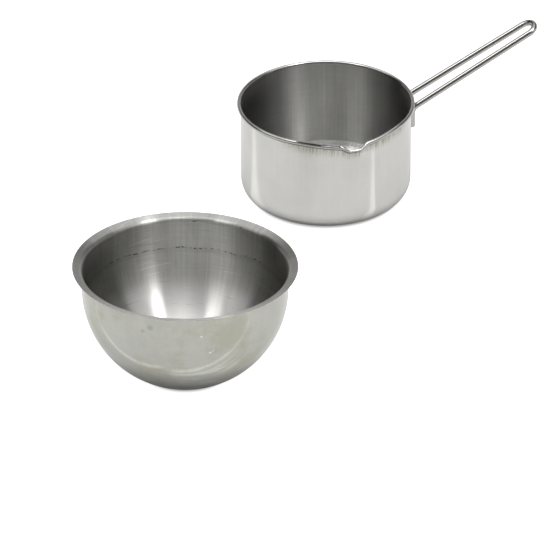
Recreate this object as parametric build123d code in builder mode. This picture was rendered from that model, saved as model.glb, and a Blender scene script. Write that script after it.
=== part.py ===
from build123d import *
import os
from math import asin, ceil, cos, degrees, pi, radians, sin, sqrt, tan

# Double boiler: a milk pan with a pressed pouring spout and a wire loop handle, and the round
# bottomed bowl that sits in its rim in use. The bowl stands beside the pan, as it is put down.
# The origin is the centre of the pan's base on the surface, the handle points along +X, the spout
# points along -Y and +Z is up. Lengths are in millimetres and angles in degrees.

# Pan: a drawn cup of one sheet whose wall widens a little towards the rim
pan_height = 97.5
pan_wall_radius = 81.0
pan_wall_taper = 0.6
pan_corner_radius = 19.0
pan_sheet = 0.7

# Rim: the sheet rolls outward into a hollow curl that stops short of the wall
curl_diameter = 3.8
curl_angle = 280.0

# Spout: below the rim the wall leans outward, steeply in the mouth and slightly at its shoulders. The
# pressing draws the rim down too, and in the mouth it squeezes the curl to a share of its size
spout_azimuth = -90.0
spout_depth = 24.0
spout_mouth_width = 27.0
spout_floor_width = 9.0
spout_lean = 26.0
spout_drop = 2.0
spout_curl_share = 0.65
spout_shoulder_width = 110.0
spout_shoulder_lean = 1.5
spout_shoulder_drop = 4.0

# Sections through the spout: their spacing on the shoulders and where the lip turns down. Where the
# shoulders end they start close together and the spacing doubles, to follow the cup's round edge
shoulder_pitch = 5.0
mouth_pitch = 1.4
end_pitch = 0.3
end_sections = 4

# Handle: one bent wire, its two legs set down into the pan's wall by the welding
wire_diameter = 6.0
handle_rise = 26.4
handle_reach = 140.2
handle_root_spacing = 23.0
handle_loop_spacing = 18.0
handle_bend_radius = 8.0
handle_corner_height = 81.8
leg_length = 19.8
leg_end_rounding = 2.0
weld_set_down = 0.6
# Radius of each corner of the loop's end, as a share of half its spacing: nearly a half circle
loop_corner_share = 0.98

# Bowl: a ball-shaped shell on a flat foot, with a short upright wall and a flared rim. It is wider
# than the pan by the overlap, so that it sits in the pan's rim
bowl_overlap = 15.5
bowl_foot_radius = 35.0
bowl_foot_blend = 12.0
bowl_wall_height = 15.6
bowl_rim_bend = 4.0
bowl_rim_flare = 13.0
bowl_rim_width = 5.85
bowl_sheet = 0.7
# Bevel of the rim's cut edge, as a share of the sheet
edge_bevel_share = 0.3

# Place of the bowl beside the pan
bowl_stand_x = -237.6
bowl_stand_y = -285.8

# Length that a cut runs past what it cuts
overrun = 5.0
# The foot of the spout band follows the cup's round edge this closely
joining_tolerance = 0.005

curl_radius = curl_diameter / 2
wire_radius = wire_diameter / 2


def upward(lean):
    """Unit vector of a profile, leaning outward from straight up by an angle."""
    return Vector(sin(radians(lean)), cos(radians(lean)))


def outward(lean):
    """Unit vector square to a wall that leans outward by an angle, pointing out of the pan."""
    return Vector(cos(radians(lean)), -sin(radians(lean)))


def polar(centre, radius, angle):
    """Point of a profile at a radius and an angle round a centre."""
    return centre + Vector(cos(radians(angle)), sin(radians(angle))) * radius


def even_angles(start, end):
    """Start, end and three angles between, for two arcs in a row."""
    return [start + (end - start) * quarter / 4 for quarter in range(5)]


def radial_plane(azimuth):
    """Upright plane through the pan's axis: its x runs outward and its y runs up."""
    out = Vector(cos(radians(azimuth)), sin(radians(azimuth)), 0)
    return Plane(origin=(0, 0, 0), x_dir=out, z_dir=out.cross(Vector(0, 0, 1)))


# Profile of the pan's wall below the plain rim: the curl's centre, the wall's inside line under it,
# and the foot of the band of wall that the spout bends
curl_centre = Vector(
    pan_wall_radius - pan_sheet + curl_radius,
    pan_height - curl_radius,
)
wall_top = curl_centre - outward(pan_wall_taper) * curl_radius
band_length = spout_depth - curl_radius
band_foot = wall_top - upward(pan_wall_taper) * band_length
level_sheet = pan_sheet / cos(radians(pan_wall_taper))
band_foot_outside = band_foot + Vector(level_sheet, 0)


def pan_wall_at(height, inset=0):
    """Radius of the pan's wall at a height, inset from its outside face."""
    rise = height - band_foot_outside.Y
    return band_foot_outside.X + rise * tan(radians(pan_wall_taper)) - inset


def rim_section(lean, drop, curl_share):
    """Outline of the sheet from the band's foot up the wall and round the curl.

    The wall bends outward in an even arc, shorter by the drop, and carries the curl on its end.
    """
    full_lean = pan_wall_taper + lean
    half_lean = pan_wall_taper + lean / 2
    if lean > 0:
        bend_radius = (band_length - drop) / radians(lean)
        bend_centre = band_foot + outward(pan_wall_taper) * bend_radius
        wall_end = bend_centre - outward(full_lean) * bend_radius
        wall_middle = bend_centre - outward(half_lean) * bend_radius
    else:
        wall_end = wall_top
        wall_middle = (band_foot + wall_top) / 2
    wall_middle_outside = wall_middle + outward(half_lean) * pan_sheet
    section_radius = curl_radius * curl_share
    centre = wall_end + outward(full_lean) * section_radius
    angles = even_angles(180 - full_lean, 180 - full_lean - curl_angle)
    outside = [polar(centre, section_radius, angle) for angle in angles]
    hollow = [polar(centre, section_radius - pan_sheet, angle) for angle in angles]
    with BuildLine() as outline:
        if lean > 0:
            ThreePointArc(band_foot, wall_middle, wall_end)
            ThreePointArc(hollow[0], wall_middle_outside, band_foot_outside)
        else:
            Line(band_foot, wall_end)
            Line(hollow[0], band_foot_outside)
        ThreePointArc(outside[0], outside[1], outside[2])
        ThreePointArc(outside[2], outside[3], outside[4])
        Line(outside[4], hollow[4])
        ThreePointArc(hollow[4], hollow[3], hollow[2])
        ThreePointArc(hollow[2], hollow[1], hollow[0])
        Line(band_foot_outside, band_foot)
    return outline.line


def spout_section(place):
    """Outline of the sheet at a distance along the rim from the spout's middle."""
    mouth_flank = (abs(place) - floor_half) / (mouth_half - floor_half)
    mouth = (1 + cos(pi * min(max(mouth_flank, 0), 1))) / 2
    shoulder = (1 + cos(pi * min(abs(place) / shoulder_half, 1))) / 2
    return rim_section(
        spout_lean * mouth + spout_shoulder_lean * shoulder,
        spout_drop * mouth + spout_shoulder_drop * shoulder,
        1 - (1 - spout_curl_share) * mouth,
    )


def even_places(start, end, pitch):
    """Places from start to just before end, evenly spaced at about the pitch."""
    count = ceil((end - start) / pitch)
    return [start + (end - start) * step / count for step in range(count)]


# Places of the spout's sections along the rim, closer together where the lip turns down
floor_half = spout_floor_width / 2
mouth_half = spout_mouth_width / 2
shoulder_half = spout_shoulder_width / 2
end_places = [-shoulder_half + end_pitch * (2**step - 1) for step in range(end_sections + 1)]
near_side = (
    end_places[:-1]
    + even_places(end_places[-1], -mouth_half, shoulder_pitch)
    + even_places(-mouth_half, -floor_half, mouth_pitch)
    + even_places(-floor_half, 0, 2 * mouth_pitch)
)
section_places = near_side + [0] + [-place for place in reversed(near_side)]
shoulder_angle = degrees(shoulder_half / pan_wall_radius)

# Pan cup: the base, the corner, the wall and the curl turned round the axis, open where the spout is
with BuildPart() as pan_cup:
    with BuildSketch(Plane.XZ):
        with BuildLine():
            outside = FilletPolyline(
                (0, 0),
                (pan_wall_at(0), 0),
                band_foot_outside,
                radius=pan_corner_radius,
            )
            inside = FilletPolyline(
                (0, pan_sheet),
                (pan_wall_at(pan_sheet, level_sheet), pan_sheet),
                band_foot,
                radius=pan_corner_radius - pan_sheet,
            )
            Line(outside @ 0, inside @ 0)
            Line(outside @ 1, inside @ 1)
        make_face()
        add(rim_section(0, 0, 1))
        make_face()
    revolve(axis=Axis.Z)
    with BuildSketch(radial_plane(spout_azimuth - shoulder_angle)):
        with Locations(band_foot - Vector(overrun, 0)):
            Rectangle(
                curl_diameter + 2 * overrun,
                spout_depth + overrun,
                align=(Align.MIN, Align.MIN),
            )
    revolve(axis=Axis.Z, revolution_arc=2 * shoulder_angle, mode=Mode.SUBTRACT)

# Spout band: the wall and the curl of the spout, smooth through its sections
with BuildPart() as spout_band:
    for place in section_places:
        azimuth = spout_azimuth + degrees(place / pan_wall_radius)
        with BuildSketch(radial_plane(azimuth)):
            add(spout_section(place))
            make_face()
    loft()

# Pan shell: one sheet, the spout band joined to the cup along the opening's edges
with BuildPart() as pan_shell:
    add(pan_cup.part.fuse(spout_band.part, tol=joining_tolerance))

# Space inside the pan's outside face, which the wire's legs are seated against
with BuildPart() as pan_body:
    with BuildSketch(Plane.XZ):
        with BuildLine():
            Polyline(
                (0, 0),
                (pan_wall_at(0), 0),
                (pan_wall_at(pan_height), pan_height),
                (0, pan_height),
                close=True,
            )
        make_face()
    revolve(axis=Axis.Z)

# Wire handle: from the far leg's end up the wall, round the loop and back to the near leg's end
leg_end_height = handle_corner_height - leg_length
leg_stand = pan_wall_at(leg_end_height) + wire_radius - weld_set_down
leg_y = handle_root_spacing / 2
leg_x = sqrt(leg_stand**2 - leg_y**2)
loop_y = handle_loop_spacing / 2
loop_x = leg_x + handle_reach * cos(radians(handle_rise))
loop_height = handle_corner_height + handle_reach * sin(radians(handle_rise))
loop_corner_radius = loop_y * loop_corner_share
with BuildPart() as wire_handle:
    with BuildLine():
        FilletPolyline(
            (leg_x, leg_y, leg_end_height),
            (leg_x, leg_y, handle_corner_height),
            (loop_x, loop_y, loop_height),
            (loop_x, -loop_y, loop_height),
            (leg_x, -leg_y, handle_corner_height),
            (leg_x, -leg_y, leg_end_height),
            radius=[handle_bend_radius, loop_corner_radius, loop_corner_radius, handle_bend_radius],
        )
    with BuildSketch(Plane(origin=(leg_x, leg_y, leg_end_height))):
        Circle(wire_radius)
    sweep()
    leg_ends = wire_handle.faces().sort_by(Axis.Z)[0:2]
    fillet(leg_ends.edges(), leg_end_rounding)
    add(pan_body.part, mode=Mode.SUBTRACT)

# Profile of the bowl: the ball's centre over the foot, the upright wall over that, and the rim's
# bend and flare on top
bowl_body_radius = pan_wall_radius + bowl_overlap
ball_height = sqrt(bowl_body_radius**2 - bowl_foot_radius**2)
rim_bend_centre = Vector(bowl_body_radius + bowl_rim_bend, ball_height + bowl_wall_height)
flare_out = Vector(cos(radians(bowl_rim_flare)), sin(radians(bowl_rim_flare)))


def bowl_line(inset):
    """Line of the bowl's sheet from its axis to the rim's edge, inset from the outside face."""
    radius = bowl_body_radius - inset
    ball_centre = Vector(0, ball_height)
    foot_angle = -degrees(asin((ball_height - inset) / radius))
    foot_edge = polar(ball_centre, radius, foot_angle)
    bend_radius = bowl_rim_bend + inset
    bend_angles = even_angles(180, 90 + bowl_rim_flare)
    bend = [polar(rim_bend_centre, bend_radius, angle) for angle in bend_angles]
    with BuildLine() as line:
        Line((0, inset), foot_edge)
        ThreePointArc(foot_edge, polar(ball_centre, radius, foot_angle / 2), (radius, ball_height))
        Line((radius, ball_height), bend[0])
        ThreePointArc(bend[0], bend[2], bend[4])
        Line(bend[4], bend[4] + flare_out * bowl_rim_width)
    return line.line


# Bowl shell: the profile turned about the bowl's own axis
with BuildPart() as bowl_shell:
    bowl_foot = (bowl_stand_x, bowl_stand_y, 0)
    with BuildSketch(Plane(origin=bowl_foot, z_dir=(0, -1, 0), x_dir=(1, 0, 0))) as profile:
        with BuildLine():
            outside, inside = bowl_line(0), bowl_line(bowl_sheet)
            add([outside, inside])
            Line(outside @ 0, inside @ 0)
            Line(outside @ 1, inside @ 1)
        make_face()
        foot_outside = profile.vertices().group_by(Axis.Y)[0].sort_by(Axis.X)[-1]
        fillet(foot_outside, bowl_foot_blend)
        foot_inside = profile.vertices().group_by(Axis.Y)[1].sort_by(Axis.X)[-1]
        fillet(foot_inside, bowl_foot_blend - bowl_sheet)
        chamfer(profile.vertices().sort_by(Axis.X)[-2:], bowl_sheet * edge_bevel_share)
    revolve(axis=Axis(bowl_foot, (0, 0, 1)))

# In use the ball rests on the top of the curl: height of its foot over the surface, and the depth
# of water under it
seat_rise = sqrt((bowl_body_radius + curl_radius) ** 2 - curl_centre.X**2)
seated_foot_height = curl_centre.Y + seat_rise - ball_height
print(f"bowl seated on the pan: foot {seated_foot_height:.1f} mm over the surface")
print(f"depth under the seated bowl: {seated_foot_height - pan_sheet:.1f} mm")

pan_shell.part.label = "pan_shell"
wire_handle.part.label = "wire_handle"
bowl_shell.part.label = "bowl_shell"

os.makedirs("parts", exist_ok=True)
export_step(pan_shell.part, "parts/pan_shell.step")
export_step(wire_handle.part, "parts/wire_handle.step")
export_step(bowl_shell.part, "parts/bowl_shell.step")
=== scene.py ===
from math import cos, degrees, pi, radians, sin, sqrt, tan

import bpy
import numpy as np
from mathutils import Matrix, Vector


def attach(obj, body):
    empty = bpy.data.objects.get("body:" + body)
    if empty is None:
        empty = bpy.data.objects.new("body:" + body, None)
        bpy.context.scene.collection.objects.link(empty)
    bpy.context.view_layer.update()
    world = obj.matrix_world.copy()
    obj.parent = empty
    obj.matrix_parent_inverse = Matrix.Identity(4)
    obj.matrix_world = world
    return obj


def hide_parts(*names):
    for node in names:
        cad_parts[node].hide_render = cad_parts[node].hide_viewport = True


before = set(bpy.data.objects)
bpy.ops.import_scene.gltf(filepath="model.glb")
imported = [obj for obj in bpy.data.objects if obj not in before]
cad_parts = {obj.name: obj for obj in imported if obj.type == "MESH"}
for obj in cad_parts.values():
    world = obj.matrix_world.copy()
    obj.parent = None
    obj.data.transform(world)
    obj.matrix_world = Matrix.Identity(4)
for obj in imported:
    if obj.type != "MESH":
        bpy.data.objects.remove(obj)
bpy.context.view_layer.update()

MM = 0.001

# ---------------------------------------------------------------- sizes of the solids, in mm and degrees
pan_height = 97.5
pan_wall_radius = 81.0
pan_wall_taper = 0.6
pan_corner_radius = 19.0
pan_sheet = 0.7
curl_diameter = 3.8
curl_angle = 280.0
spout_azimuth = -90.0
spout_depth = 24.0
spout_mouth_width = 27.0
spout_floor_width = 9.0
spout_lean = 26.0
spout_drop = 2.0
spout_curl_share = 0.65
spout_shoulder_width = 110.0
spout_shoulder_lean = 1.5
spout_shoulder_drop = 4.0
wire_diameter = 6.0
handle_rise = 26.4
handle_reach = 140.2
handle_root_spacing = 23.0
handle_loop_spacing = 18.0
handle_bend_radius = 8.0
handle_corner_height = 81.8
leg_length = 19.8
leg_end_rounding = 2.0
weld_set_down = 0.6
loop_corner_share = 0.98
bowl_overlap = 15.5
bowl_foot_radius = 35.0
bowl_foot_blend = 12.0
bowl_wall_height = 15.6
bowl_rim_bend = 4.0
bowl_rim_flare = 13.0
bowl_rim_width = 5.85
bowl_sheet = 0.7
edge_bevel_share = 0.3
bowl_stand = (-237.6, -285.8, 0.0)

# ---------------------------------------------------------------- details that only this model has
# crease in the curl to the left of the spout: its length and depth, its place round the curl and its spread
# in degrees, the depth at which it is fully dark, the share of its length in which it sets in, and how fast
# it gets shallower
crease_length = 42.0
crease_depth = 1.0
crease_angle = 52.0
crease_spread = 24.0
crease_dark_depth = 0.16
crease_start_share = 0.04
crease_fading = 0.6
# specks on the bowl: azimuth in degrees, height in mm, half length in degrees and half thickness in mm
inner_specks = (
    (66.0, 106.5, 1.6, 0.5),
    (38.5, 107.6, 1.4, 0.45),
    (47.0, 106.0, 0.7, 0.4),
    (-5.0, 60.0, 0.8, 0.5),
)
bright_specks = ((-99.8, 88.7, 0.8, 1.0), (-94.6, 70.0, 0.9, 1.2), (-93.0, 71.8, 0.6, 0.8))
dark_specks = ((-96.2, 51.7, 0.7, 0.9), (-128.5, 96.0, 2.2, 3.4), (-133.0, 91.0, 1.4, 2.2))

# ---------------------------------------------------------------- how finely the pieces are meshed
# steps and margin are degrees round the axis
axis_gap = 4.0  # radius in mm at which a turned profile ends, with a fan of triangles inside
pan_fine_step = 0.4
pan_coarse_step = 1.5
pan_fine_margin = 6.0
pan_base_points = 14
pan_underside_points = 10
pan_corner_points = (20, 24)
pan_wall_points = 16
curl_points = 50
hollow_points = 30
bowl_step = 1.0
bowl_foot_points = 10
bowl_blend_points = 12
bowl_ball_points = 60
bowl_wall_points = 8
bowl_bend_points = 16
bowl_flare_points = 8
wire_sides = 40
wire_bend_steps = 20
wire_ring_gap = 4  # in mm, on the straight runs
wire_end_rings = 8

# bands of a turned sheet, which have a material each
OUTSIDE, INSIDE, RIM = 0, 1, 2
# value of below_curl where no wall is near
FAR_BELOW = 99.0

curl_radius = curl_diameter / 2
wire_radius = wire_diameter / 2
taper = radians(pan_wall_taper)
level_sheet = pan_sheet / cos(taper)
band_length = spout_depth - curl_radius


def upward(lean):
    return np.array([sin(lean), cos(lean)])


def outward(lean):
    return np.array([cos(lean), -sin(lean)])


def ring(centre, radius, angle):
    return np.array(centre) + radius * np.array([cos(angle), sin(angle)])


def arc(centre, radius, start, end, count):
    return [ring(centre, radius, a) for a in np.linspace(start, end, count)]


def line(start, end, count):
    return list(np.linspace(np.array(start), np.array(end), count))


curl_centre = np.array([pan_wall_radius - pan_sheet + curl_radius, pan_height - curl_radius])
wall_top = curl_centre - outward(taper) * curl_radius
band_foot = wall_top - upward(taper) * band_length
foot_outside_x = band_foot[0] + level_sheet


def pan_wall_at(height):
    """Radius of the wall's outside at a height."""
    return foot_outside_x + (height - band_foot[1]) * tan(taper)


# ---------------------------------------------------------------- mesh helpers
class Profile:
    """Outline of a sheet as points of radius and height, with the band of each step between them."""

    def __init__(self):
        self.points, self.bands = [], []

    def run(self, new, band):
        """Adds a run that starts at the last point, or at its own first point if it is the first."""
        skip = 1 if self.points else 0
        self.points.extend(new[skip:])
        self.bands.extend([band] * (len(new) - 1))


def new_object(name, data):
    thing = bpy.data.objects.new(name, data)
    bpy.context.scene.collection.objects.link(thing)
    return thing


def mesh_object(name, verts, faces, mats, materials):
    mesh = bpy.data.meshes.new(name)
    mesh.from_pydata(verts, [], faces)
    for m in materials:
        mesh.materials.append(m)
    mesh.polygons.foreach_set("material_index", mats)
    mesh.polygons.foreach_set("use_smooth", [True] * len(faces))
    mesh.update()
    mesh.set_sharp_from_angle(angle=radians(60))
    return new_object(name, mesh)


def turned_column(points, azimuth):
    return [(r * cos(azimuth), r * sin(azimuth), h) for r, h in points]


def surface(name, columns, bands, materials):
    """Mesh of a profile carried round an axis. columns are rows of points, all alike in count; bands
    gives the material of each step along the profile. Both ends of the profile are closed on the axis."""
    columns = np.array(columns) * MM
    n, m, _ = columns.shape
    start = columns[:, 0].mean(axis=0)
    end = columns[:, -1].mean(axis=0)
    verts = list(map(tuple, columns.reshape(-1, 3))) + [tuple(start), tuple(end)]
    faces, mats = [], []
    for i in range(n):
        k = (i + 1) % n
        for j in range(m - 1):
            faces.append((i * m + j, k * m + j, k * m + j + 1, i * m + j + 1))
            mats.append(bands[j])
        faces.append((n * m, k * m, i * m))
        mats.append(bands[0])
        faces.append((n * m + 1, i * m + m - 1, k * m + m - 1))
        mats.append(bands[-1])
    return mesh_object(name, verts, faces, mats, materials)


def add_layer(piece, name, values):
    """Number at each vertex that the materials read, such as the distance below the rim."""
    layer = piece.data.attributes.new(name, "FLOAT", "POINT")
    layer.data.foreach_set("value", [float(v) for v in values])


# ---------------------------------------------------------------- node helpers
class Nodes:
    """Short way to write a node tree."""

    def __init__(self, tree):
        self.tree = tree
        tree.nodes.clear()

    def add(self, kind, inputs=(), **settings):
        node = self.tree.nodes.new(kind)
        for key, value in settings.items():
            setattr(node, key, value)
        for key, value in dict(inputs).items():
            self.put(node.inputs[key], value)
        return node

    def put(self, socket, value):
        if isinstance(value, bpy.types.NodeSocket):
            self.tree.links.new(value, socket)
        else:
            socket.default_value = value

    def math(self, operation, *values, clamp=False):
        node = self.add("ShaderNodeMath", operation=operation, use_clamp=clamp)
        for socket, value in zip(node.inputs, values):
            self.put(socket, value)
        return node.outputs[0]

    def times(self, first, *others):
        for value in others:
            first = self.math("MULTIPLY", first, value)
        return first

    def plus(self, first, *others):
        for value in others:
            first = self.math("ADD", first, value)
        return first

    def vector(self, x, y, z):
        return self.add("ShaderNodeCombineXYZ", {"X": x, "Y": y, "Z": z}).outputs[0]

    def dot(self, a, b):
        return self.add("ShaderNodeVectorMath", {0: a, 1: b}, operation="DOT_PRODUCT").outputs["Value"]

    def noise(self, vector, scale=1.0, detail=2.0, roughness=0.5, w=None):
        inputs = {"Vector": vector, "Scale": scale, "Detail": detail, "Roughness": roughness}
        if w is not None:
            inputs["W"] = w
        node = self.add("ShaderNodeTexNoise", inputs, noise_dimensions="4D" if w is not None else "3D")
        return node.outputs[0]

    def ramp(self, value, low, high, out_low=0.0, out_high=1.0, smooth=True):
        node = self.add(
            "ShaderNodeMapRange",
            {"Value": value, "From Min": low, "From Max": high, "To Min": out_low, "To Max": out_high},
            interpolation_type="SMOOTHSTEP" if smooth else "LINEAR",
        )
        return node.outputs[0]

    def fade(self, value, low, high, top=1.0):
        """top up to low, falling to 0 at high."""
        return self.ramp(value, low, high, top, 0.0)

    def band(self, value, low, high, soft):
        """1 between low and high, falling to 0 over a soft edge on both sides."""
        half = soft / 2
        return self.times(
            self.ramp(value, low - half, low + half), self.fade(value, high - half, high + half)
        )

    def mix_color(self, factor, a, b):
        node = self.add("ShaderNodeMix", data_type="RGBA")
        for index, value in ((0, factor), (6, a), (7, b)):
            self.put(node.inputs[index], value)
        return node.outputs[2]


def new_material(name):
    material = bpy.data.materials.new(name)
    material.use_nodes = True
    return material, Nodes(material.node_tree)


def layer_value(n, name):
    return n.add("ShaderNodeAttribute", attribute_name=name, attribute_type="GEOMETRY").outputs["Fac"]


class Place:
    """Place on a turned piece, in metres: x, y, z, radius, and turn_x and turn_y, its way from the axis."""

    def __init__(self, n):
        self.n = n
        self.point = n.add("ShaderNodeTexCoord").outputs["Object"]
        self.x, self.y, self.z = n.add("ShaderNodeSeparateXYZ", {0: self.point}).outputs
        self.radius = n.math("SQRT", n.plus(n.times(self.x, self.x), n.times(self.y, self.y)))
        self.turn_x = n.math("DIVIDE", self.x, self.radius)
        self.turn_y = n.math("DIVIDE", self.y, self.radius)

    def noise(self, around, up, height=None, across=None, **settings):
        """Noise with a scale of its own round the axis, up the piece and, if given, across its radius."""
        n = self.n
        height = self.z if height is None else height
        vector = n.vector(n.times(self.turn_x, around), n.times(self.turn_y, around), n.times(height, up))
        w = None if across is None else n.times(self.radius, across)
        return n.noise(vector, w=w, **settings)


# ---------------------------------------------------------------- steel
# colours of marks on the steel
# painted shade under the rim's curl, partly grime, as a line and as ticks
grime_and_shade_line = (0.16, 0.16, 0.13)
grime_and_shade_ticks = (0.20, 0.20, 0.15)
# painted shade on the curl's underside, partly grime
grime_and_shade_on_curl = (0.2, 0.2, 0.18)
darker_band_under_rim = (0.50, 0.49, 0.41)
crease_shadow = (0.03, 0.03, 0.028)
# lighter steel for the bottoms, partly wear and partly painted highlight, then a painted highlight for the
# pan's inside corner ring
worn_and_highlit_steel = (0.86, 0.86, 0.85)
highlight_ring_steel = (0.97, 0.97, 0.96)
water_film = (0.30, 0.30, 0.25)
water_residue = (0.08, 0.08, 0.06)
dark_scratch = (0.18, 0.18, 0.17)
light_scratch = (0.86, 0.86, 0.84)
outer_scratch = (0.9, 0.9, 0.88)
inner_speck = (0.06, 0.06, 0.05)
bright_speck = (0.95, 0.95, 0.93)
dark_speck = (0.25, 0.25, 0.19)
olive_film = (0.42, 0.42, 0.32)
olive_spots = (0.34, 0.34, 0.27)

# heights of marks, in metres: from and to, or where a mark from the bottom up fades out
# the pan's base is lighter, partly wear and partly painted highlight; the corner ring holds a painted
# highlight
pan_worn_and_highlit_base = (0.010, 0.015)
pan_highlight_ring = (0.0095, 0.0135)
# the bowl's bottom is lighter, partly wear and partly painted highlight
bowl_worn_and_highlit_bottom = (0.036, 0.056)
bowl_scratched_bottom = (0.030, 0.055)
water_line = (0.0782, 0.0794)
water_film_band = (0.0745, 0.0795)
water_line_wander = 0.008

dark_share = 0.55  # the darkest shade of a steel, as a share of its colour
grain_shade = 0.07
brush_turn = 0.25  # anisotropic rotation for light spread across the brushing


def turned_steel(name, color, roughness, spread, lines=0.1, streaks=0.1, mottle=0.1, waves=0.0, marks=None):
    """Stainless sheet, brushed or spun round the piece's axis.

    lines darken fine rings round the piece, streaks run up and down it, mottle is broad and cloudy, and
    waves, in metres, make the sheet's face uneven round the piece, which breaks a reflection into streaks.
    marks gives a list of masks, each with its colour and what it adds to the roughness.
    """
    material, n = new_material(name)
    place = Place(n)
    rings = place.noise(2.5, 1500.0, across=1500.0, detail=3.0, roughness=0.65)
    fine_streaks = place.noise(48.0, 11.0, detail=4.0, roughness=0.72)
    clouds = n.noise(place.point, scale=24.0, detail=4.0, roughness=0.6)
    grain = n.noise(place.point, scale=620.0, detail=3.0, roughness=0.7)
    shade = 0.0
    for noise, low, high, depth in (
        (rings, 0.35, 0.65, lines),
        (grain, 0.4, 0.62, grain_shade),
        (fine_streaks, 0.35, 0.68, streaks),
        (clouds, 0.42, 0.7, mottle),
    ):
        shade = n.math("ADD", shade, n.times(n.ramp(noise, low, high), depth), clamp=True)
    base = n.mix_color(shade, color + (1,), tuple(dark_share * c for c in color) + (1,))
    uneven = n.plus(n.times(fine_streaks, 0.6), n.times(clouds, 0.4))
    rough = n.ramp(uneven, 0.3, 0.7, roughness * 0.88, roughness * 1.12)
    for mask, mark_color, mark_rough in marks(n, place) if marks else []:
        base = n.mix_color(mask, base, mark_color + (1,))
        rough = n.plus(rough, n.times(mask, mark_rough))
    inputs = {
        "Base Color": base, "Metallic": 1.0, "Roughness": rough, "Anisotropic": spread,
        "Anisotropic Rotation": brush_turn, "Tangent": n.vector(n.times(place.y, -1.0), place.x, 0.0),
    }
    if waves:
        swell = place.noise(30.0, 6.0, detail=3.0, roughness=0.6)
        bump = n.add("ShaderNodeBump", {"Strength": 1.0, "Distance": waves, "Height": swell})
        inputs["Normal"] = bump.outputs[0]
    shader = n.add("ShaderNodeBsdfPrincipled", inputs)
    n.add("ShaderNodeOutputMaterial", {"Surface": shader.outputs[0]})
    return material


def wire_steel(name, color, roughness):
    """Drawn wire with fine scattered marks."""
    material, n = new_material(name)
    point = n.add("ShaderNodeTexCoord").outputs["Object"]
    marks = n.noise(point, scale=420.0, detail=3.0, roughness=0.6)
    base = n.mix_color(marks, color + (1,), tuple(0.86 * c for c in color) + (1,))
    rough = n.ramp(marks, 0.3, 0.7, roughness * 0.8, roughness * 1.25, smooth=False)
    shader = n.add("ShaderNodeBsdfPrincipled", {"Base Color": base, "Metallic": 1.0, "Roughness": rough})
    n.add("ShaderNodeOutputMaterial", {"Surface": shader.outputs[0]})
    return material


def rim_marks(n, place):
    """Painted shade, partly grime, in the corner under the rim's curl, drawn down in fine ticks beside the
    spout.
    """
    below = layer_value(n, "below_curl")
    patches = place.noise(14.0, 0.0, detail=4.0, roughness=0.7)
    ticks = place.noise(120.0, 40.0, detail=3.0, roughness=0.8)
    near_spout = n.ramp(place.turn_y, -0.55, -0.85)
    # the dark line and ticks under the curl are painted shade, partly grime
    line_mask = n.times(n.fade(below, 3.3, 4.1), n.ramp(patches, 0.25, 0.5, 0.55, 0.95))
    tick_reach = n.times(n.fade(below, 3.4, 13.0), n.ramp(patches, 0.38, 0.6, 0.45, 1.0))
    tick_mask = n.times(n.ramp(ticks, 0.44, 0.58), tick_reach, near_spout, 0.85)
    film_mask = n.times(n.fade(below, 4.0, 16.0), near_spout, 0.35)
    return [
        (film_mask, darker_band_under_rim, 0.05),
        (tick_mask, grime_and_shade_ticks, 0.15),
        (line_mask, grime_and_shade_line, 0.15),
    ]


def curl_marks(n, place):
    """Painted shadow in the crease pressed into the curl beside the spout, and painted shade, partly grime,
    on the curl's underside.
    """
    underside = n.ramp(layer_value(n, "below_curl"), 0.6, 2.4, 0.0, 0.5)
    return [(layer_value(n, "fold_depth"), crease_shadow, 0.2), (underside, grime_and_shade_on_curl, 0.1)]


def corner_marks(n, place):
    """Bright base, partly wear and partly painted highlight, and a painted highlight, with lower roughness,
    on the ring where the wall turns into it.
    """
    worn_and_highlit_base = n.fade(place.z, *pan_worn_and_highlit_base, 0.6)
    highlight_ring = n.band(place.z, *pan_highlight_ring, 0.0016)
    return [(worn_and_highlit_base, worn_and_highlit_steel, 0.0), (highlight_ring, highlight_ring_steel, -0.1)]


def scratches(n, place, across, tilt):
    """Fine scratches that run nearly round the piece, from 0 to 1."""
    slope = n.plus(place.z, n.times(place.x, tilt))
    fine = place.noise(1.6, across, height=slope)
    patches = place.noise(3.0, 20.0)
    return n.times(n.ramp(fine, 0.62, 0.70), n.ramp(patches, 0.42, 0.58))


def speck_marks(n, place, specks, strength, color, rough):
    """Small oval specks on the wall, as marks."""
    marks = []
    for azimuth_of, height_of, half_length, half_height in specks:
        aside = n.math("SUBTRACT", n.math("ARCTAN2", place.y, place.x), radians(azimuth_of))
        wide = n.math("DIVIDE", aside, radians(half_length))
        high = n.math("DIVIDE", n.math("SUBTRACT", place.z, height_of * MM), half_height * MM)
        mask = n.fade(n.plus(n.times(wide, wide), n.times(high, high)), 0.3, 1.0)
        marks.append((n.times(mask, strength), color, rough))
    return marks


def bowl_inside_marks(n, place):
    """Bright bottom, partly wear and partly painted highlight, residue left at a water line in dashes,
    scratches round the wall, and specks.
    """
    worn_and_highlit_bottom = n.fade(place.z, *bowl_worn_and_highlit_bottom, 0.62)
    wander = place.noise(5.0, 0.0, detail=3.0)
    height = n.plus(place.z, n.times(n.math("SUBTRACT", wander, 0.5), water_line_wander))
    dashes = place.noise(38.0, 0.0, detail=3.0, roughness=0.7)
    # the residue has dried on along one side only
    dried_side = n.plus(n.times(place.turn_x, 0.326), n.times(place.turn_y, 0.946))
    line_mask = n.times(
        n.band(height, *water_line, 0.0007), n.ramp(dashes, 0.47, 0.58), n.ramp(dried_side, 0.58, 0.74), 0.9
    )
    film_mask = n.times(n.band(height, *water_film_band, 0.0015), 0.2)
    return [
        (worn_and_highlit_bottom, worn_and_highlit_steel, 0.0),
        (film_mask, water_film, 0.1),
        (n.times(scratches(n, place, 900.0, 0.06), 0.3), dark_scratch, 0.1),
        (n.times(scratches(n, place, 700.0, -0.08), 0.35), light_scratch, 0.0),
        (line_mask, water_residue, 0.15),
    ] + speck_marks(n, place, inner_specks, 0.85, inner_speck, 0.2)


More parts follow.
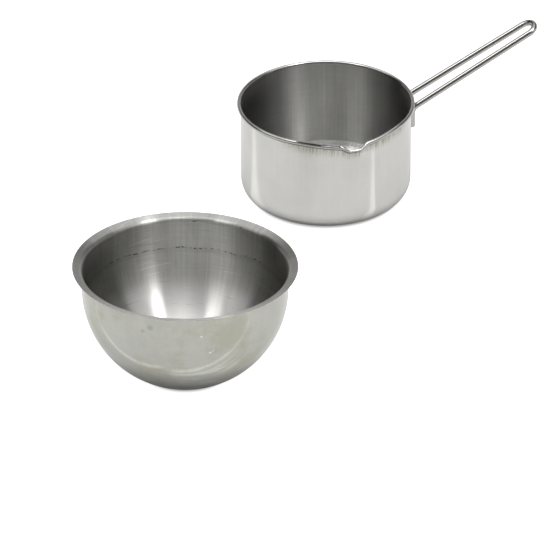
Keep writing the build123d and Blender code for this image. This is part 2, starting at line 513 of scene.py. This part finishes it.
def bowl_outside_marks(n, place):
    """Light and dark specks, olive film in blotches and spots, and fine scratches low down."""
    blotches = n.noise(place.point, scale=17.0, detail=5.0, roughness=0.62)
    spots = n.noise(place.point, scale=95.0, detail=3.0, roughness=0.6)
    low_down = n.fade(place.z, *bowl_scratched_bottom)
    marks = speck_marks(n, place, bright_specks, 0.8, bright_speck, 0.1)
    marks += speck_marks(n, place, dark_specks, 0.3, dark_speck, 0.1)
    return marks + [
        (n.times(n.ramp(blotches, 0.46, 0.66), 0.55), olive_film, 0.06),
        (n.times(n.ramp(spots, 0.68, 0.76), 0.35), olive_spots, 0.08),
        (n.times(scratches(n, place, 800.0, 0.05), low_down, 0.8), outer_scratch, 0.0),
    ]


# ---------------------------------------------------------------- pan
floor_half = spout_floor_width / 2
mouth_half = spout_mouth_width / 2
shoulder_half = spout_shoulder_width / 2
shoulder_angle = degrees(shoulder_half / pan_wall_radius)


def spout_shares(place):
    """How far the mouth and the shoulders of the spout act at a place along the rim, from 0 to 1."""
    flank = min(max((abs(place) - floor_half) / (mouth_half - floor_half), 0), 1)
    shoulder = min(abs(place) / shoulder_half, 1)
    return (1 + cos(pi * flank)) / 2, (1 + cos(pi * shoulder)) / 2


def bent_wall(lean, drop, share, depth):
    """Point of the wall's band at a share of its length, at a depth into the sheet from inside."""
    length = (band_length - drop) * share
    curve = lean / (band_length - drop)
    if lean > 1e-6:
        along, aside = sin(curve * length) / curve, (1 - cos(curve * length)) / curve
    else:
        along, aside = length, 0.0
    point = band_foot + upward(taper) * along + outward(taper) * aside
    return point + outward(taper + lean * share) * depth


def groove_at(place):
    """Depth of the crease that the pressing leaves on the curl to the left of the spout, in mm."""
    away = (-place - mouth_half) / crease_length
    if not 0.0 < away < 1.0:
        return 0.0
    return crease_depth * (1 - away) ** crease_fading * min(1.0, away / crease_start_share)


def pan_profile(place):
    """Points and bands of the pan's sheet at a place along the rim, in mm from the spout's middle, with
    each point's distance below the curl's middle and its share of the crease's depth."""
    mouth, shoulder = spout_shares(place)
    lean = radians(spout_lean * mouth + spout_shoulder_lean * shoulder)
    drop = spout_drop * mouth + spout_shoulder_drop * shoulder
    radius = curl_radius * (1 - (1 - spout_curl_share) * mouth)
    centre = bent_wall(lean, drop, 1.0, radius)
    start = pi - (taper + lean)
    end = start - radians(curl_angle)
    corner = (pan_wall_at(pan_corner_radius) - pan_corner_radius / cos(taper), pan_corner_radius)
    inner = pan_corner_radius - pan_sheet
    shares = np.linspace(0, 1, pan_wall_points)
    sheet = Profile()

    inside_corner = arc(corner, inner, -pi / 2, -taper, pan_corner_points[0])
    sheet.run(line((axis_gap, pan_sheet), (corner[0], pan_sheet), pan_base_points), INSIDE)
    sheet.run(inside_corner, INSIDE)
    sheet.run(line(inside_corner[-1], band_foot, pan_wall_points), INSIDE)
    sheet.run([bent_wall(lean, drop, s, 0.0) for s in shares], INSIDE)
    curl_start = len(sheet.points) - 1
    curl, creases = [], []
    for a in np.linspace(start, end, curl_points):
        off_crease = (degrees(a + lean) - crease_angle) / crease_spread
        dip = groove_at(place) * np.exp(-(off_crease**2))
        curl.append(ring(centre, radius - dip, a))
        creases.append(min(1.0, dip / crease_dark_depth))
    hollow = arc(centre, radius - pan_sheet, end, start, hollow_points)
    sheet.run(curl, RIM)
    sheet.run([curl[-1], hollow[0]], RIM)
    sheet.run(hollow, RIM)
    outside_corner = arc(corner, pan_corner_radius, -taper, -pi / 2, pan_corner_points[1])
    band_end = bent_wall(lean, drop, 0, pan_sheet)
    sheet.run([bent_wall(lean, drop, s, pan_sheet) for s in shares[::-1]], OUTSIDE)
    sheet.run(line(band_end, outside_corner[0], pan_wall_points), OUTSIDE)
    sheet.run(outside_corner, OUTSIDE)
    sheet.run(line((corner[0], 0), (axis_gap, 0), pan_underside_points), OUTSIDE)

    curl_foot, curl_height = bent_wall(lean, drop, 1.0, pan_sheet)
    near_wall = 30.0
    below = [max(0.0, curl_height - h) if r > curl_foot - near_wall else FAR_BELOW for r, h in sheet.points]
    crease = np.zeros(len(sheet.points))
    crease[curl_start:curl_start + len(creases)] = creases
    return sheet, below, crease


def build_pan(materials):
    fine_half = shoulder_angle + pan_fine_margin
    fine = np.arange(-fine_half, fine_half, pan_fine_step)
    rest = np.arange(fine[-1] + pan_coarse_step, fine[0] + 360 - pan_fine_step, pan_coarse_step)
    away_from_spout = 1e3
    columns, all_below, all_crease = [], [], []
    for turn in list(fine) + list(rest):
        place = radians(turn) * pan_wall_radius if turn < 180 else away_from_spout
        sheet, below, crease = pan_profile(place)
        columns.append(turned_column(sheet.points, radians(spout_azimuth + turn)))
        all_below.extend(below)
        all_crease.extend(crease)
    piece = surface("pan_shell_look", columns, sheet.bands, materials)
    # the last two values are for the two points on the axis
    add_layer(piece, "below_curl", all_below + [FAR_BELOW, FAR_BELOW])
    add_layer(piece, "fold_depth", all_crease + [0.0, 0.0])
    return piece


# ---------------------------------------------------------------- handle
def fillet_path(corners, radii, steps):
    """Points and directions along straight runs joined by arcs."""
    places, ways = [corners[0]], [(corners[1] - corners[0]).normalized()]
    for before, at, after, radius in zip(corners, corners[1:], corners[2:], radii):
        way_in, way_out = (at - before).normalized(), (after - at).normalized()
        turn = way_in.angle(way_out)
        start = at - way_in * (radius * tan(turn / 2))
        middle = at + (way_out - way_in).normalized() * (radius / cos(turn / 2))
        axis = way_in.cross(way_out).normalized()
        side = start - middle
        for step in range(steps + 1):
            a = turn * step / steps
            arm = side * cos(a) + axis.cross(side) * sin(a)
            places.append(middle + arm)
            ways.append(axis.cross(arm).normalized())
    places.append(corners[-1])
    ways.append((corners[-1] - corners[-2]).normalized())
    return places, ways


def with_more_places(places, ways):
    """The same path with more places on its straight runs."""
    full_places, full_ways = [places[0]], [ways[0]]
    for place, way in zip(places[1:], ways[1:]):
        last = full_places[-1]
        extra = int((place - last).length // wire_ring_gap)
        for step in range(1, extra + 1):
            full_places.append(last.lerp(place, step / (extra + 1)))
            full_ways.append((place - last).normalized())
        full_places.append(place)
        full_ways.append(way)
    return full_places, full_ways


def build_handle(materials):
    leg_end_height = handle_corner_height - leg_length
    stand = pan_wall_at(leg_end_height) + wire_radius - weld_set_down
    leg_y = handle_root_spacing / 2
    leg_x = sqrt(stand**2 - leg_y**2)
    loop_y = handle_loop_spacing / 2
    loop_x = leg_x + handle_reach * cos(radians(handle_rise))
    loop_z = handle_corner_height + handle_reach * sin(radians(handle_rise))
    one_side = [
        (leg_x, leg_y, leg_end_height),
        (leg_x, leg_y, handle_corner_height),
        (loop_x, loop_y, loop_z),
    ]
    corners = [Vector(p) for p in one_side] + [Vector((x, -y, z)) for x, y, z in one_side[::-1]]
    loop_radius = loop_y * loop_corner_share
    radii = [handle_bend_radius, loop_radius, loop_radius, handle_bend_radius]
    places, ways = with_more_places(*fillet_path(corners, radii, wire_bend_steps))

    # each end of the wire is rounded: distance from the end and radius of its rings
    core = wire_radius - leg_end_rounding
    rounding = [(0.0, core * 0.5), (0.0, core)] + [
        (leg_end_rounding * (1 - cos(a)), core + leg_end_rounding * sin(a))
        for a in np.linspace(0.15, pi / 2, wire_end_rings)
    ]
    rings = [(places[0] + ways[0] * back, ways[0], radius) for back, radius in rounding]
    rings += [(place, way, wire_radius) for place, way in zip(places[1:-1], ways[1:-1])]
    rings += [(places[-1] - ways[-1] * back, ways[-1], radius) for back, radius in reversed(rounding)]

    # up to just over the bends of the legs, the wire's surface stays outside the pan's wall
    seated_height = handle_corner_height + 2
    side = Vector((1, 0, 0))
    verts, faces = [], []
    for place, way, radius in rings:
        side = (side - way * side.dot(way)).normalized()
        other = way.cross(side)
        for k in range(wire_sides):
            a = 2 * pi * k / wire_sides
            v = place + (side * cos(a) + other * sin(a)) * radius
            out, wall = sqrt(v.x**2 + v.y**2), pan_wall_at(v.z)
            if v.z < seated_height and out < wall:
                v = Vector((v.x * wall / out, v.y * wall / out, v.z))
            verts.append(tuple(v * MM))
    for i in range(len(rings) - 1):
        near, far = i * wire_sides, (i + 1) * wire_sides
        for k in range(wire_sides):
            j = (k + 1) % wire_sides
            faces.append((near + k, near + j, far + j, far + k))
    faces.append(tuple(range(wire_sides))[::-1])
    faces.append(tuple(range((len(rings) - 1) * wire_sides, len(rings) * wire_sides)))
    return mesh_object("wire_handle_look", verts, faces, [0] * len(faces), materials)


# ---------------------------------------------------------------- bowl
def build_bowl(materials):
    body = pan_wall_radius + bowl_overlap
    ball = np.array([0.0, sqrt(body**2 - bowl_foot_radius**2)])
    blend_x = sqrt((body - bowl_foot_blend) ** 2 - (ball[1] - bowl_foot_blend) ** 2)
    blend = (blend_x, bowl_foot_blend)
    meet = np.arctan2(bowl_foot_blend - ball[1], blend_x)
    bend = (body + bowl_rim_bend, ball[1] + bowl_wall_height)
    flare = radians(bowl_rim_flare)
    out = np.array([cos(flare), sin(flare)])
    up = np.array([-out[1], out[0]])
    bevel = bowl_sheet * edge_bevel_share

    def face_runs(inset):
        """Runs of one face of the sheet, from the foot's middle to the rim's bevel."""
        rim_bend = arc(bend, bowl_rim_bend + inset, pi, pi / 2 + flare, bowl_bend_points)
        rim_end = rim_bend[-1] + out * (bowl_rim_width - bevel)
        return [
            line((axis_gap, inset), (blend_x, inset), bowl_foot_points),
            arc(blend, bowl_foot_blend - inset, -pi / 2, meet, bowl_blend_points),
            arc(ball, body - inset, meet, 0.0, bowl_ball_points),
            line((body - inset, ball[1]), (body - inset, bend[1]), bowl_wall_points),
            rim_bend,
            line(rim_bend[-1], rim_end, bowl_flare_points),
        ]

    sheet = Profile()
    for run in face_runs(bowl_sheet):
        sheet.run(run, INSIDE)
    outer = [run[::-1] for run in face_runs(0.0)[::-1]]
    inner_end, outer_end = sheet.points[-1], outer[0][0]
    tips = [inner_end + (out - up) * bevel, outer_end + (out + up) * bevel]
    sheet.run([inner_end, *tips, outer_end], RIM)
    for run in outer:
        sheet.run(run, OUTSIDE)
    columns = [turned_column(sheet.points, a) for a in np.radians(np.arange(0, 360, bowl_step))]
    piece = surface("bowl_shell_look", columns, sheet.bands, materials)
    piece.location = Vector(bowl_stand) * MM
    return piece


# ---------------------------------------------------------------- pieces
pan_outside = turned_steel(
    "pan_outside_steel", (0.66, 0.658, 0.63), 0.15, 1.0,
    lines=0.0, streaks=0.03, mottle=0.09, marks=rim_marks,
)
pan_inside = turned_steel(
    "pan_inside_steel", (0.51, 0.51, 0.495), 0.32, 1.0,
    lines=0.16, streaks=0.24, mottle=0.10, waves=0.00004, marks=corner_marks,
)
pan_rim = turned_steel(
    "pan_rim_steel", (0.54, 0.54, 0.52), 0.20, 0.2,
    lines=0.1, streaks=0.1, mottle=0.1, marks=curl_marks,
)
bowl_outside = turned_steel(
    "bowl_outside_steel", (0.55, 0.555, 0.51), 0.11, 0.5,
    lines=0.0, streaks=0.02, mottle=0.14, marks=bowl_outside_marks,
)
bowl_inside = turned_steel(
    "bowl_inside_steel", (0.57, 0.57, 0.545), 0.32, 1.0,
    lines=0.14, streaks=0.3, mottle=0.2, waves=0.00005, marks=bowl_inside_marks,
)
bowl_rim = turned_steel(
    "bowl_rim_steel", (0.54, 0.535, 0.50), 0.26, 0.2,
    lines=0.1, streaks=0.05, mottle=0.15,
)
handle_steel = wire_steel("handle_wire_steel", (0.52, 0.515, 0.495), 0.16)

pan = build_pan([pan_outside, pan_inside, pan_rim])
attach(pan, "pan")
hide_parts("pan_shell")

handle = build_handle([handle_steel])
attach(handle, "pan")
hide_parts("wire_handle")

bowl = build_bowl([bowl_outside, bowl_inside, bowl_rim])
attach(bowl, "bowl")
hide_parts("bowl_shell")

# ---------------------------------------------------------------- photographer's view
# direction of the view, used by the camera, the lights and the floor
azimuth, elevation = radians(-19.0), radians(28.8)
to_right = (cos(azimuth), sin(azimuth), 0)
to_away = (-sin(azimuth), cos(azimuth), 0)

# ---------------------------------------------------------------- floor
floor_reach = 60.0
floor_grey = 0.5
# reach of the tight shadow where a piece stands and of the darkness that the metal shows under it, in metres
contact_reach = 0.0035
under_reach = 0.03
contact_samples = 8
# the floor's radiance in the picture, where a piece stands and in the open, and how open the latter is
contact_radiance, floor_radiance = 0.3, 0.97
fully_open = 0.7
# radiance of the floor in the metal's reflections, and what a bright line adds to it
floor_in_metal = 0.42
line_in_metal = 0.36
# shares of a line's width between which its edge fades, and the lengths in which it sets in and runs out
line_edge = (0.35, 0.65)
line_set_in = 0.01
line_run_out = 0.05
# bright lines on the floor: middle of the piece that shows it, start to the right of and away from that
# middle in mm, turn in degrees, width and length in metres
bright_lines = (
    ((0, 0), (44.8, -67.5), 67.2, 0.011, 0.35),
    ((0, 0), (-68.2, -43.8), -114.6, 0.022, 0.35),
    (bowl_stand, (-19, -92), 83.3, 0.0065, 0.45),
    (bowl_stand, (-37, -95), -121.5, 0.0065, 0.34),
    (bowl_stand, (-19, -84), 88.4, 0.0035, 0.125),
    (bowl_stand, (22, -82), 97.4, 0.0035, 0.09),
    (bowl_stand, (43, -69), 98.9, 0.0035, 0.075),
)

floor_corners = [(x * floor_reach, y * floor_reach, 0) for x, y in ((-1, -1), (1, -1), (1, 1), (-1, 1))]
floor_mesh = bpy.data.meshes.new("floor")
floor_mesh.from_pydata(floor_corners, [], [(0, 1, 2, 3)])
floor = new_object("floor", floor_mesh)
floor_material, n = new_material("white_floor")
path = n.add("ShaderNodeLightPath").outputs
floor_point = n.add("ShaderNodeTexCoord").outputs["Object"]
floor_x, floor_y, _ = n.add("ShaderNodeSeparateXYZ", {0: floor_point}).outputs


def openness(reach):
    """Share of the sky that nothing hides within a reach, from 0 to 1."""
    return n.add("ShaderNodeAmbientOcclusion", {"Distance": reach}, samples=contact_samples).outputs["AO"]


def bright_line(middle, start, turn, width, length):
    """Narrow bright line on the floor, such as the slit between two softboxes throws, from 0 to 1."""
    a = azimuth - radians(90.0) + radians(turn)
    way = (cos(a), sin(a))
    origin = [middle[k] * MM + (to_right[k] * start[0] + to_away[k] * start[1]) * MM for k in (0, 1)]
    dx, dy = n.math("SUBTRACT", floor_x, origin[0]), n.math("SUBTRACT", floor_y, origin[1])
    along = n.plus(n.times(dx, way[0]), n.times(dy, way[1]))
    aside = n.math("ABSOLUTE", n.math("SUBTRACT", n.times(dx, way[1]), n.times(dy, way[0])))
    side = n.fade(aside, width * line_edge[0], width * line_edge[1])
    start_fade = n.ramp(along, -line_set_in, line_set_in)
    return n.times(side, n.times(start_fade, n.fade(along, length - line_run_out, length)))


lines = 0.0
for line_of in bright_lines:
    lines = n.math("MAXIMUM", lines, bright_line(*line_of))
metal_glow = n.plus(floor_in_metal, n.times(lines, line_in_metal))
mirrored = n.math("MAXIMUM", path["Is Glossy Ray"], path["Is Transmission Ray"])
metal_share = n.times(mirrored, metal_glow, openness(under_reach))
floor_seen = n.ramp(openness(contact_reach), 0.0, fully_open, contact_radiance, floor_radiance)
seen = n.times(path["Is Camera Ray"], floor_seen)
diffuse = n.add("ShaderNodeBsdfDiffuse", {"Color": (floor_grey, floor_grey, floor_grey, 1)})
glow = n.add("ShaderNodeEmission", {"Color": (1, 1, 1, 1), "Strength": n.plus(seen, metal_share)})
both = n.add("ShaderNodeAddShader", {0: diffuse.outputs[0], 1: glow.outputs[0]})
n.add("ShaderNodeOutputMaterial", {"Surface": both.outputs[0]})
floor_mesh.materials.append(floor_material)

# ---------------------------------------------------------------- camera
photo_width = 550
metres_per_pixel = 0.00094
sensor_width = 36.0
camera_distance = 20.0
aim = Vector((-0.09832, -0.13791, 0.0))

scene = bpy.context.scene


def turn_along(thing, way):
    """Turns a camera or lamp so that it looks along a direction."""
    thing.rotation_mode = "QUATERNION"
    thing.rotation_quaternion = way.to_track_quat("-Z", "Y")


back = Vector((sin(azimuth) * cos(elevation), -cos(azimuth) * cos(elevation), sin(elevation)))
camera_data = bpy.data.cameras.new("camera")
camera_data.sensor_width = sensor_width
camera_data.lens = camera_distance / metres_per_pixel * sensor_width / photo_width
camera_data.clip_start, camera_data.clip_end = 1.0, 200.0
camera = new_object("camera", camera_data)
camera.location = aim + back * camera_distance
turn_along(camera, -back)
scene.camera = camera

# ---------------------------------------------------------------- light
scene.view_settings.view_transform = "Standard"
room_color = (0.98, 0.97, 0.97, 1)
room_radiance = 0.025
low_side_radiance = 0.9
behind_radiance = 0.36
under_strip_radiance = 0.22
side_box_radiance = 0.8
overhead_radiance = 4.4
# strip softboxes high over the photographer: from, to and radiance, by the place of the band that each
# shows as on a brushed wall
strip_boxes = ((-6, 30, 0.5), (34, 47, 10.5), (47, 72, 0.3), (-56, -32, 3.6))
strip_edge = 4.0
side_boxes = ((50.0, 84.0), (-94.0, -60.0))
side_edge = 8.0
under_strip_band = (-60.0, 60.0)
under_strip_edge = 20.0
# heights of a direction, as the sine of its angle over the floor: from, to and the soft edge
strip_heights = (0.75, 0.95, 0.06)
under_strip_heights = (0.25, 0.6, 0.15)
side_box_heights = (0.40, 0.80, 0.1)
low_side_top = (0.14, 0.30)
behind_top = (0.66, 0.80)
overhead_start = (0.92, 0.98)

world = bpy.data.worlds.new("studio")
scene.world = world
world.use_nodes = True
n = Nodes(world.node_tree)
path = n.add("ShaderNodeLightPath").outputs
ray = n.add("ShaderNodeTexCoord").outputs["Generated"]
height = n.add("ShaderNodeSeparateXYZ", {0: ray}).outputs[2]
right, away = n.dot(ray, to_right), n.dot(ray, to_away)
# turn round the set from the photographer's side, in degrees, positive to the right
turn = n.times(n.math("ARCTAN2", right, n.times(away, -1.0)), 180 / pi)
# place of the upright band that a light shows as on a brushed wall, in degrees
bend = n.times(n.math("ARCTAN2", right, n.math("SUBTRACT", cos(elevation), away)), 360 / pi)

# low light to the right and to the left, and light behind the set
at_sides = n.math("MAXIMUM", n.ramp(turn, 68.0, 74.0), n.ramp(turn, -112.0, -118.0))
low_sides = n.times(at_sides, n.fade(height, *low_side_top), low_side_radiance)
at_back = n.ramp(n.math("ABSOLUTE", turn), 140.0, 160.0)
behind = n.times(at_back, n.fade(height, *behind_top), behind_radiance)

strips = 0.0
for start, end, radiance in strip_boxes:
    strips = n.plus(strips, n.times(n.band(bend, start, end, strip_edge), radiance))
strips = n.times(strips, n.band(height, *strip_heights), n.ramp(away, 0.12, -0.08))

# faint light under the strips, lower boxes at both sides, and a sheet of light overhead
faint_band = n.band(bend, *under_strip_band, under_strip_edge)
under_strips = n.times(faint_band, n.band(height, *under_strip_heights), under_strip_radiance)
boxes_at_sides = n.plus(*[n.band(bend, start, end, side_edge) for start, end in side_boxes])
lower_boxes = n.times(boxes_at_sides, n.band(height, *side_box_heights), side_box_radiance)
overhead = n.times(n.ramp(height, *overhead_start, 0.0, overhead_radiance), n.ramp(away, 0.08, -0.04))

strongest = n.math("MAXIMUM", low_sides, behind)
level = n.plus(strongest, room_radiance, strips, under_strips, lower_boxes, overhead)
room = n.add("ShaderNodeBackground", {"Color": room_color, "Strength": level})
plain = n.add("ShaderNodeBackground", {"Color": (1, 1, 1, 1), "Strength": 1.0})
pick = n.add("ShaderNodeMixShader", {0: path["Is Camera Ray"], 1: room.outputs[0], 2: plain.outputs[0]})
n.add("ShaderNodeOutputWorld", {"Surface": pick.outputs[0]})

# soft panel overhead: place and target to the right of, away from and over the middle of the set, in metres
panel_place = (0.0, 0.45, 1.5)
panel_target = (0.0, 0.1, 0.0)
panel_size = (2.2, 1.5)
panel_radiance = 0.9
set_middle = Vector((-0.1, -0.14, 0.0))


def world_point(place):
    return set_middle + Vector(to_right) * place[0] + Vector(to_away) * place[1] + Vector((0, 0, place[2]))


panel_data = bpy.data.lights.new("top_panel", "AREA")
panel_data.shape = "RECTANGLE"
panel_data.size, panel_data.size_y = panel_size
panel_data.energy = panel_radiance * pi * panel_size[0] * panel_size[1]
panel = new_object("top_panel", panel_data)
panel.location = world_point(panel_place)
turn_along(panel, world_point(panel_target) - panel.location)
